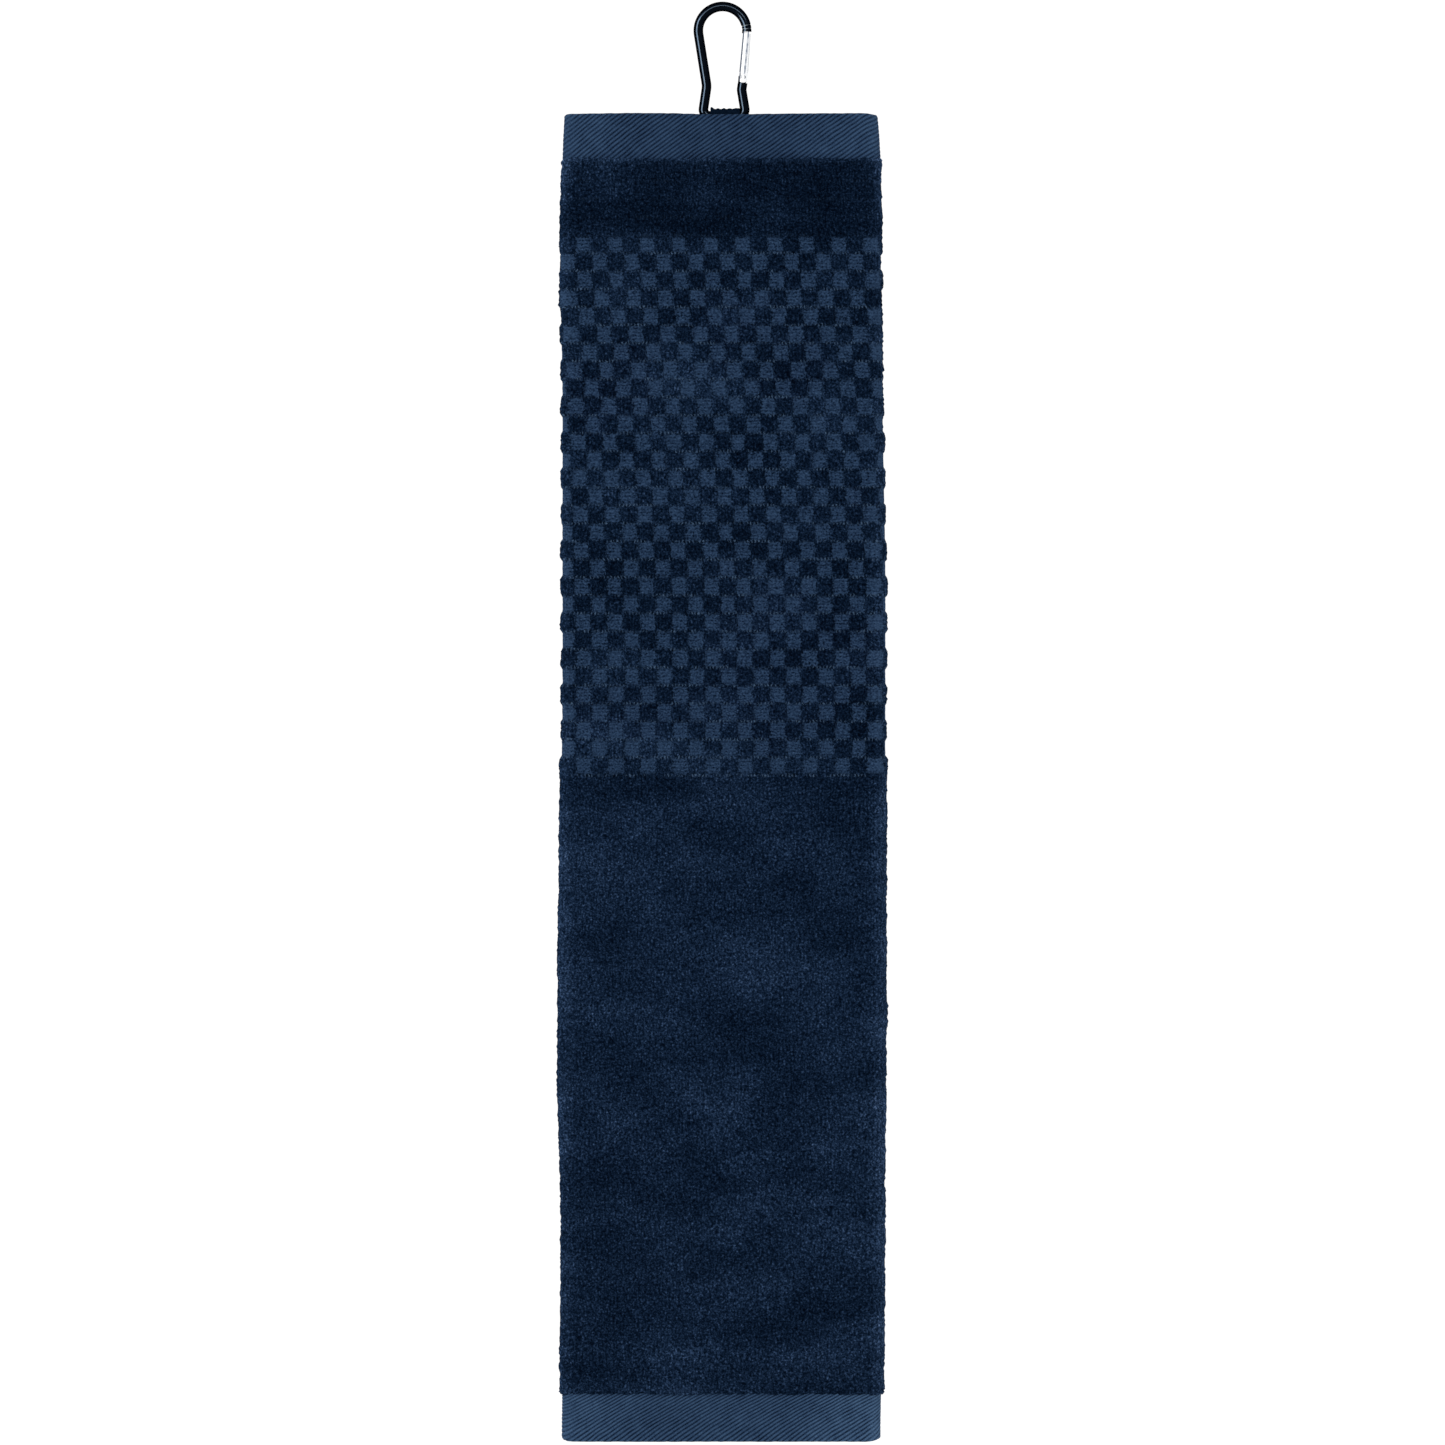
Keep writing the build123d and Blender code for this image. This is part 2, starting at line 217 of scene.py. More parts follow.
# ---- Mesh building ---------------------------------------------------------------------------
def build(name, points, faces, caps, fields):
    """A mesh object from points in millimetres, four-cornered faces and larger end faces, turned so
    that its faces look outwards. The edges of the end faces are sharp. fields holds a vector for each
    point, which the materials read."""
    faces = np.asarray(faces, np.int64).reshape(-1, 4)
    caps = [np.asarray(c, np.int64) for c in caps]
    corner = points[faces]
    volume = 0.0
    for a, b, c in ((0, 1, 2), (0, 2, 3)):
        volume += np.einsum("ij,ij->", corner[:, a], np.cross(corner[:, b], corner[:, c]))
    if volume < 0:
        faces = faces[:, ::-1]
        caps = [c[::-1] for c in caps]
    mesh = bpy.data.meshes.new(name)
    loops = np.concatenate([faces.ravel(), *caps])
    sizes = np.concatenate([np.full(len(faces), 4), [len(c) for c in caps]]).astype(np.int64)
    mesh.vertices.add(len(points))
    mesh.vertices.foreach_set("co", (points * MM).astype(np.float32).ravel())
    mesh.loops.add(len(loops))
    mesh.loops.foreach_set("vertex_index", loops.astype(np.int32))
    mesh.polygons.add(len(sizes))
    mesh.polygons.foreach_set("loop_start", (np.cumsum(sizes) - sizes).astype(np.int32))
    mesh.polygons.foreach_set("use_smooth", np.ones(len(sizes), bool))
    mesh.update(calc_edges=True)
    ends = np.zeros(len(mesh.edges) * 2, np.int32)
    mesh.edges.foreach_get("vertices", ends)
    ends = np.sort(ends.reshape(-1, 2).astype(np.int64), 1)
    rims = np.concatenate([np.sort(np.stack([c, np.roll(c, 1)], 1), 1) for c in caps])
    total = len(points)
    sharp = np.isin(ends[:, 0] * total + ends[:, 1], rims[:, 0] * total + rims[:, 1])
    mesh.attributes.new("sharp_edge", "BOOLEAN", "EDGE").data.foreach_set("value", sharp)
    for key, values in fields.items():
        attribute = mesh.attributes.new(key, "FLOAT_VECTOR", "POINT")
        attribute.data.foreach_set("vector", values.astype(np.float32).ravel())
    obj = bpy.data.objects.new(name, mesh)
    bpy.context.scene.collection.objects.link(obj)
    return obj


def loft(name, grid, pattern):
    """A closed skin through rows of closed outlines: grid is (outlines, points round each, 3), and
    pattern holds three numbers for each point, where it lies in the weave."""
    count, around = grid.shape[:2]
    index = np.arange(count * around).reshape(count, around)
    right = np.roll(index, -1, axis=1)
    faces = np.stack([index[:-1], right[:-1], right[1:], index[1:]], -1)
    points = grid.reshape(-1, 3)
    fields = {"rest": points, "weave": np.stack(np.broadcast_arrays(*pattern), -1).reshape(-1, 3)}
    # The start's end face runs against the skin's own turn, the finish's with it.
    return build(name, points, faces, (index[0][::-1], index[-1]), fields)


def rows_between(low, high, step):
    return np.linspace(low, high, max(2, round(abs(high - low) / step) + 1))


# ---- Pile cloth ------------------------------------------------------------------------------
def pattern_place(s, z):
    """Column and row of the band's squares, as running numbers."""
    v = (BAND_TOP - z) / ROW
    lean = DRIFT * (1 - (1 - np.clip(v / ROWS, 0, 1)) ** 2)
    return (s - FIRST_X - lean) / COLUMN, v


def flat_square(u, v):
    """1 on a flat woven square of the band, 0 on pile, with a soft step between them."""
    a = np.clip(np.sin(PI * u) * 3.2, -1, 1)
    b = np.clip(np.sin(PI * v) * 3.2, -1, 1)
    inside = ease(v, -0.05, 0.1) * ease(ROWS - v, -0.05, 0.1)
    return ease(a * b, -0.5, 0.7) * inside


def pile_piece(name, s):
    """One stretch of the pile cloth, with tufted face and looped back, from s[0] to s[-1]."""
    lip = np.array([0, 0.25, 0.6, 1.05, 1.6, 2.3])
    top, bottom = PILE_TOP + TOP_LIP, PILE_BOTTOM - BOTTOM_LIP
    band_end = BAND_TOP - ROWS * ROW
    face_z = np.concatenate([
        top - lip,
        rows_between(top - LIP_DEPTH, BAND_TOP, PLAIN_STEP)[:-1],
        rows_between(BAND_TOP, band_end, ROW / 8)[:-1],
        rows_between(band_end, bottom + LIP_DEPTH, PLAIN_STEP),
        (bottom + lip)[::-1],
    ])
    back_z = rows_between(bottom, top, BACK_STEP)
    s = s[:, None]
    u, v = pattern_place(s, face_z)
    flat = flat_square(u, v)
    rng = np.random.default_rng(int(abs(s[0, 0]) * 10) + 5)
    tuft = rng.normal(0, TUFT_SPREAD, (len(s), len(face_z)))
    lump = 0.24 * noise(11, s + 500, face_z, 3.3) + 0.2 * noise(12, s + 500, face_z, 13)
    relief = (tuft + lump) * (1 - 0.8 * flat) - FLAT_DEPTH * flat
    to_end = np.minimum(top - face_z, face_z - bottom)
    curl = np.sqrt(1 - (1 - np.clip(to_end / CURL_REACH, 0, 1)) ** 2)
    face = RIM + (PILE_T / 2 + relief - RIM) * curl
    ragged = 0.45 * noise(13, s + 500, face_z * 0, 1.4) * (1 - ease(to_end, 0, 4))
    face_z = face_z + ragged
    back = -PILE_T / 2 + 0.12 + 0.1 * noise(14, s + 500, back_z, 5)
    back_z = np.broadcast_to(back_z, back.shape)
    off = np.concatenate([face, back], 1)
    z = np.concatenate([face_z, back_z], 1)
    grid = PILE_FOLD.points(s, z, off, PILE_EDGES)
    side = np.concatenate([np.zeros(face.shape), np.ones(back.shape)], 1)
    u, v = pattern_place(s, z)
    return loft(name, grid, (u, v, side))


left_turn = rows_between(PILE_FOLD.inner_start, LEFT_X, 0.51)
front = rows_between(LEFT_X, RIGHT_X, PILE_STEP)
right_turn = rows_between(RIGHT_X, PILE_FOLD.outer_start, 0.68)
towel_front = pile_piece("towel_front", np.concatenate([left_turn[:-1], front]))
inner_cloth = pile_piece("towel_inner_flap",
                         rows_between(PILE_FOLD.inner(INNER_SIDE_X), PILE_FOLD.inner_start, 1.3))
outer_cloth = pile_piece("towel_outer_flap", np.concatenate([
    right_turn[:-1], rows_between(PILE_FOLD.outer_start, PILE_FOLD.outer(OUTER_SIDE_X), PILE_STEP)]))


# ---- Twill hems ------------------------------------------------------------------------------
TOP_MIDDLE = (TOP_Z + PILE_TOP) / 2
BOTTOM_MIDDLE = (BOTTOM_Z + PILE_BOTTOM) / 2
HEM_TUCK = 1.2                  # how far the hem runs on past the pile's end, inside the cloth
TURN_END = 1.2                  # on the back, the edge turned under ends this far from the pile


def twill_phase(s, z):
    """Running number of the twill's ribs. They rise to the right and fan a little."""
    top = z > HALF_WAY_Z
    h = np.where(top, z - TOP_MIDDLE, z - BOTTOM_MIDDLE)
    s = np.clip(s, -80, 80)
    upper = (0.385 - 0.0002 * s) * s - (0.5425 + 0.00043 * s) * h
    lower = 0.384 * s - (0.62 + 0.0064 * h) * h
    return np.where(top, upper, lower) + 0.12 * noise(21, s + 500, z, 5) + 0.25 * noise(22, s + 500, z, 16)


def hem_edge(s, sign):
    """How far the hem's outer edge stands out or in at s. sign is 1 for the top hem, -1 for the bottom."""
    if sign > 0:
        places = (-66.5, -64.5, -62, -40, -20, -5, 10, 40, 58, 61, 64.5)
        heights = (-0.8, -0.3, -0.1, 0.2, 0.1, -0.3, -0.25, 0.1, 0.15, 0, -0.45)
    else:
        places = (-66, -63.5, -61, 59, 62, 66)
        heights = (-1.3, -0.35, 0, 0, -0.3, -1.2)
    hump = np.interp(s, places, heights)
    behind = (s < HEM_FOLD.inner_start) | (s > HEM_FOLD.outer_start)
    hump = np.where(behind, -0.45 + 0.2 * noise(24, s + 500, s * 0, 30), hump)
    return hump + 0.07 * noise(23, s + 500, s * 0, 1.7)


def hem_piece(name, s, outer_z, inner_z, free_end=None):
    """One stretch of a hem: twill face, rounded outer edge, and the edge turned under on its back."""
    sign = 1 if outer_z > inner_z else -1
    half = HEM_T / 2
    height = abs(outer_z - inner_z)
    face_h = rows_between(-HEM_TUCK, height - half, TWILL_STEP)
    angle = np.linspace(0, PI, 9)[1:-1]
    over_h = height - half + half * np.sin(angle)
    back_h = np.array([height - half, height - 3, height - 6, height - 9, height - 12, height - 15,
                       1.7, 1.35, 1.1, 0.9, 0, -HEM_TUCK])
    turned_under = np.where(back_h > TURN_END, -half, -half * 0.42)
    h = np.concatenate([face_h, over_h, back_h])
    off = np.concatenate([np.full(len(face_h), half), half * np.cos(angle), turned_under])
    side = np.concatenate([np.zeros(len(face_h)), ease(angle, 1.6, 3.1), np.ones(len(back_h))])
    s = s[:, None]
    z = inner_z + sign * h
    q = twill_phase(s, z)
    ridge = np.abs((q % 1) - 0.5) * 2          # 1 in a groove, 0 on a rib's back
    groove = ease(ridge, 0.45, 1)
    along = s * 0.84 + z * 0.54
    yarn = 0.045 * noise(25, q + 400, along, 0.8)
    relief = -TWILL_DEPTH * groove + yarn + 0.12 * noise(26, s + 500, z, 9)
    relief = relief * ease(off, -half, half * 0.6)
    back_lump = 0.05 * noise(27, s + 500, z, 2.2) * side
    off = off + relief - back_lump
    if free_end is not None:
        # The free end is rounded off as a turned edge is.
        gap = np.abs(s - free_end)
        off = off * np.sqrt(1 - (1 - np.clip(0.25 + gap / 1.1, 0, 1)) ** 2)
    z = z + sign * hem_edge(s, sign) * np.clip(h / height, 0, 1)
    grid = HEM_FOLD.points(s, z, off, HEM_EDGES)
    return loft(name, grid, (q, along, np.broadcast_to(side, q.shape)))


hem_turn = rows_between(HEM_FOLD.inner_start, HEM_LEFT_X, 0.16)
hem_front = rows_between(HEM_LEFT_X, HEM_RIGHT_X, TWILL_STEP)
hem_right = rows_between(HEM_RIGHT_X, HEM_FOLD.outer_start, 0.2)
inner_end, outer_end = HEM_FOLD.inner(INNER_EDGE_X), HEM_FOLD.outer(OUTER_EDGE_X)
hem_inner = rows_between(inner_end, HEM_FOLD.inner_start, 0.6)
hem_outer = rows_between(HEM_FOLD.outer_start, outer_end, 0.27)
hems = {}
for end, outer_z, inner_z in (("top", TOP_Z, PILE_TOP), ("bottom", BOTTOM_Z, PILE_BOTTOM)):
    hems[end] = (
        hem_piece(f"{end}_hem_front", np.concatenate([hem_turn[:-1], hem_front]), outer_z, inner_z),
        hem_piece(f"{end}_hem_inner_flap", hem_inner, outer_z, inner_z, inner_end),
        hem_piece(f"{end}_hem_outer_flap", np.concatenate([hem_right[:-1], hem_outer]),
                  outer_z, inner_z, outer_end),
    )


# ---- Side hems of the two flaps --------------------------------------------------------------
def side_hem(name, edge_s, seam_s):
    """Narrow turned edge along a flap's free side: an upright strip, rounded where it is folded."""
    step = 1 if seam_s > edge_s else -1
    width = abs(seam_s - edge_s)
    half = SIDE_T / 2
    across = rows_between(width + 0.6, half, 0.55)
    angle = np.linspace(0, PI, 9)[1:-1]
    tip = half - half * np.sin(angle)
    back = np.array([half, 2.5, 3.7, 4.7, 5.3, 5.6, 6.2, width + 0.6])
    w = np.concatenate([across, tip, back])
    off = np.concatenate([np.full(len(across), half), half * np.cos(angle),
                          np.where(back < 5.4, -half, -half * 0.5)])
    side = np.concatenate([np.zeros(len(across)), ease(angle, 1.5, 3.1), np.ones(len(back))])
    z = rows_between(PILE_TOP + 0.3, PILE_BOTTOM - 0.3, 1.0)[:, None]
    s = edge_s + step * w + 0.25 * noise(31, z, z * 0, 11) * (w < width)
    pinch = 0.10 * np.exp(-((w - 1.6) / 0.5) ** 2) * (1 + 0.5 * np.sin(z * 2 * PI / 3.2))
    off = off - np.sign(off) * pinch + 0.07 * noise(32, w + 60, z, 1.6) * np.sign(off)
    grid = PILE_FOLD.points(s, np.broadcast_to(z, s.shape), off, PILE_EDGES)
    return loft(name, grid, (w, z, side))


inner_side = side_hem("side_hem_inner_flap", PILE_FOLD.inner(INNER_EDGE_X), PILE_FOLD.inner(INNER_SIDE_X))
outer_side = side_hem("side_hem_outer_flap", PILE_FOLD.outer(OUTER_EDGE_X), PILE_FOLD.outer(OUTER_SIDE_X))


# ---- Stitches --------------------------------------------------------------------------------
THREAD_R = 0.2
STITCH_PITCH = 3.2
STITCH_LENGTH = 2.6
THREAD_LIFT = 0.02              # how far a stitch's middle lies off the cloth
SEAM_W = 4.8                    # from a side hem's edge to its seam
HEM_SEAM_OFF = -HEM_T / 2 - THREAD_LIFT
SIDE_SEAM_OFF = -SIDE_T / 2 - THREAD_LIFT


def stitches(name, centre, along, out, length):
    """A row of thread stitches. Each is a closed spindle that dips into the cloth at both ends."""
    turn = np.linspace(0, 2 * PI, 8, endpoint=False)
    t = np.array([-1, -0.8, -0.4, 0, 0.4, 0.8, 1])
    fat = np.array([0.35, 0.75, 1, 1.05, 1, 0.75, 0.35])
    sink = -0.75 * t ** 4
    side = np.cross(along, out)
    count = len(centre)
    rise = (sink * THREAD_R)[:, None] + (fat * THREAD_R)[:, None] * np.sin(turn)
    spread = (fat * THREAD_R * 1.15)[:, None] * np.cos(turn)
    points = (
        centre[:, None, None]
        + along[:, None, None] * (t * length / 2)[None, :, None, None]
        + out[:, None, None] * rise[None, :, :, None]
        + side[:, None, None] * spread[None, :, :, None]
    )
    rings, around = len(t), len(turn)
    index = np.arange(count * rings * around).reshape(count, rings, around)
    right = np.roll(index, -1, axis=2)
    faces = np.stack([index[:, :-1], right[:, :-1], right[:, 1:], index[:, 1:]], -1)
    caps = [c for i in index for c in (i[0][::-1], i[-1])]
    flat = points.reshape(-1, 3)
    twist = np.broadcast_to(t[None, :, None] * length * 2.2, (count, rings, around))
    around_field = np.broadcast_to(turn[None, None], twist.shape)
    fields = {"rest": flat, "weave": np.stack([twist, around_field, twist * 0], -1).reshape(-1, 3)}
    return build(name, flat, faces, caps, fields)


def stitch_row(name, fold, s, z, off, edges, upright):
    """Stitches on the cloth at distances s and heights z, on the side that off's sign says."""
    s, z = np.broadcast_arrays(np.asarray(s, float), np.asarray(z, float))
    here = fold.points(s, z, off, edges)
    step = 0.3
    ahead = fold.points(s + (0 if upright else step), z + (step if upright else 0), off, edges)
    lifted = fold.points(s, z, off + math.copysign(step, off), edges)
    along, out = ahead - here, lifted - here
    along /= np.linalg.norm(along, axis=1, keepdims=True)
    out /= np.linalg.norm(out, axis=1, keepdims=True)
    return stitches(name, here, along, out, STITCH_LENGTH)


seam_rows = {}
for end, inner_z, sign in (("top", PILE_TOP, 1), ("bottom", PILE_BOTTOM, -1)):
    z = inner_z + sign * 1.85
    span = np.arange(HEM_FOLD.inner(INNER_EDGE_X) + 3, HEM_RIGHT_X, STITCH_PITCH)
    seam_rows[end] = stitch_row(
        f"{end}_hem_stitches", HEM_FOLD, span, z, HEM_SEAM_OFF, HEM_EDGES, upright=False)
    span = np.arange(HEM_FOLD.outer_start + 1, outer_end - 3, STITCH_PITCH)
    seam_rows[end + "_outer"] = stitch_row(
        f"{end}_hem_stitches_outer_flap", HEM_FOLD, span, z, HEM_SEAM_OFF, HEM_EDGES, upright=False)
upright_z = np.arange(PILE_BOTTOM + 2, PILE_TOP - 1, STITCH_PITCH)
inner_seam = stitch_row("side_stitches_inner_flap", PILE_FOLD, PILE_FOLD.inner(INNER_EDGE_X - SEAM_W),
                        upright_z, SIDE_SEAM_OFF, PILE_EDGES, upright=True)
outer_seam = stitch_row("side_stitches_outer_flap", PILE_FOLD, PILE_FOLD.outer(OUTER_EDGE_X + SEAM_W),
                        upright_z, SIDE_SEAM_OFF, PILE_EDGES, upright=True)


# ---- Hanging loop ----------------------------------------------------------------------------
tape_low, tape_high = corners("hang_loop")
TAPE_T = 0.9
TAPE_R = tape_high[1] - TAPE_T / 2
BAR_Z = tape_high[2] - tape_high[1]
TAPE_BACK_Y = MIDDLE_Y + HEM_T / 2 + 1.5 * TAPE_T
TAPE_JOIN_Z = -51.5             # the back leg has come in to the front one at this height
LOOP_STITCH = 1.8


def tape_piece():
    """Woven tape that goes up behind the hem, over the carabiner's bar and back down."""
    arc = np.linspace(0, PI, 25)
    y = [np.full(14, -TAPE_R), -TAPE_R * np.cos(arc)]
    z = [np.linspace(tape_low[2], BAR_Z, 14, endpoint=False), BAR_Z + TAPE_R * np.sin(arc)]
    t = ease(np.linspace(0, 1, 16)[1:], 0, 1)
    fall = np.linspace(BAR_Z, TAPE_JOIN_Z, 16)[1:]
    y.append(TAPE_R + (TAPE_BACK_Y - TAPE_R) * t)
    z.append(fall)
    y.append(np.full(12, TAPE_BACK_Y))
    z.append(np.linspace(TAPE_JOIN_Z, tape_low[2], 13)[1:])
    y, z = np.concatenate(y), np.concatenate(z)
    dy, dz = np.gradient(y), np.gradient(z)
    size = np.hypot(dy, dz)
    ny, nz = -dz / size, dy / size             # away from the bar
    run = np.cumsum(np.hypot(np.diff(y, prepend=y[0]), np.diff(z, prepend=z[0])))
    half = TAPE_T / 2
    x = rows_between(tape_low[0], tape_high[0] + 0.5, 0.3)
    middle, reach = (x[0] + x[-1]) / 2, (x[-1] - x[0]) / 2
    over = np.clip((z - BAR_Z) / TAPE_R, 0, 1) ** 2
    outline = np.concatenate([x, x[::-1]])
    top = np.concatenate([np.ones(len(x)), -np.ones(len(x))])
    edge = reach - np.abs(outline - middle)
    round_off = np.sqrt(1 - (1 - np.clip(0.3 + edge / 0.7, 0, 1)) ** 2)
    scallop = (0.75 * np.exp(-((outline - x[0]) / 0.8) ** 2)
               + 0.35 * np.exp(-((outline - x[-1]) / 1.1) ** 2)
               + 0.16 * np.sin(outline * 2.6) + 0.1 * noise(41, outline + 40, outline * 0, 0.9) - 0.1)
    fuzz = 0.05 * noise(42, run[:, None], outline + 40, 0.5)
    off = top * half * round_off + over[:, None] * scallop + fuzz * top
    curl = 0.12 * np.sin(run[:, None] * 1.3) * (1 - np.clip(edge / 1.2, 0, 1))
    grid = np.stack([
        np.broadcast_to(outline, off.shape) + curl * np.sign(outline - middle),
        y[:, None] + ny[:, None] * off,
        z[:, None] + nz[:, None] * off,
    ], -1)
    return loft("hanging_loop", grid, (outline, run[:, None], top))


hanging_loop = tape_piece()
sewn_z = (-52.98, -56.78)       # heights of the two rows that hold the loop
sewn_x = np.arange(tape_low[0] + 1.15, tape_high[0] - 0.6, 2.3)
sewn = np.array([(x, TAPE_BACK_Y + TAPE_T / 2 + 0.03, z) for z in sewn_z for x in sewn_x])
loop_seam = stitches("loop_stitches", sewn, np.tile([1.0, 0, 0], (len(sewn), 1)),
                     np.tile([0, 1.0, 0], (len(sewn), 1)), LOOP_STITCH)


# ---- Materials -------------------------------------------------------------------------------
class Graph:
    """Short way to write a material: numbers and sockets go in, and a socket comes out."""

    def __init__(self, name, **constants):
        self.material = bpy.data.materials.new(name)
        self.material.use_nodes = True
        self.tree = self.material.node_tree
        self.shader = self.tree.nodes["Principled BSDF"]
        for key, value in constants.items():
            self.shader.inputs[key.replace("_", " ")].default_value = value

    def put(self, socket, value):
        if isinstance(value, bpy.types.NodeSocket):
            self.tree.links.new(value, socket)
        else:
            socket.default_value = value

    def node(self, kind, inputs, **settings):
        made = self.tree.nodes.new(kind)
        for key, value in settings.items():
            setattr(made, key, value)
        for key, value in inputs.items():
            self.put(made.inputs[key], value)
        return made

    def math(self, operation, *values):
        return self.node("ShaderNodeMath", dict(enumerate(values)), operation=operation).outputs[0]

    def add(self, *values):
        total = values[0]
        for value in values[1:]:
            total = self.math("ADD", total, value)
        return total

    def times(self, *values):
        total = values[0]
        for value in values[1:]:
            total = self.math("MULTIPLY", total, value)
        return total

    def centred(self, value, amount):
        """A value that runs from 0 to 1, moved to run about zero and made larger or smaller."""
        return self.times(self.add(value, -0.5), amount)

    def wave(self, value, turns=1.0):
        """Sine of value, with so many turns to each unit."""
        return self.math("SINE", self.math("MULTIPLY", value, 2 * PI * turns))

    def span(self, value, low, high, to_low=0.0, to_high=1.0):
        """Smooth step of value from one range to another."""
        inputs = {0: value, 1: low, 2: high, 3: to_low, 4: to_high}
        return self.node("ShaderNodeMapRange", inputs, interpolation_type="SMOOTHSTEP").outputs[0]

    def field(self, name):
        return self.node("ShaderNodeAttribute", {}, attribute_name=name).outputs["Vector"]

    def split(self, vector):
        return self.node("ShaderNodeSeparateXYZ", {0: vector}).outputs

    def noise(self, vector, scale, detail=2.0, roughness=0.55, colour=False):
        inputs = {"Vector": vector, "Scale": scale, "Detail": detail, "Roughness": roughness}
        return self.node("ShaderNodeTexNoise", inputs).outputs["Color" if colour else "Fac"]

    def cells(self, vector, scale):
        return self.node("ShaderNodeTexVoronoi", {"Vector": vector, "Scale": scale}).outputs["Distance"]

    def stretch(self, vector, scale):
        return self.node("ShaderNodeVectorMath", {0: vector, 1: scale}, operation="MULTIPLY").outputs[0]

    def mix(self, factor, a, b):
        made = self.node("ShaderNodeMix", {0: factor, 6: a, 7: b}, data_type="RGBA")
        return made.outputs[2]

    def shade(self, colour, tone, contrast):
        """A plain colour lit by tone, where each channel may follow it more or less strongly."""
        channels = [self.times(self.math("POWER", tone, k), c) for c, k in zip(colour, contrast)]
        return self.node("ShaderNodeCombineXYZ", dict(enumerate(channels))).outputs[0]

    def scaled(self, colour, factor):
        """A plain colour made lighter or darker from point to point."""
        made = self.node("ShaderNodeVectorMath", {0: colour[:3], "Scale": factor}, operation="SCALE")
        return made.outputs[0]

    def finish(self, colour, height, distance, roughness):
        """Puts the colour, the bump of so many metres and the roughness on the shader."""
        self.put(self.shader.inputs["Base Color"], colour)
        self.put(self.shader.inputs["Roughness"], roughness)
        bump = self.node("ShaderNodeBump", {"Height": height, "Distance": distance, "Strength": 1.0})
        self.put(self.shader.inputs["Normal"], bump.outputs["Normal"])
        return self.material


def rgba(r, g, b):
    return (r, g, b, 1.0)


FLAT_BLUE = rgba(0.0124, 0.0264, 0.0560)
PILE_BLUE = rgba(0.0046, 0.0114, 0.0275)


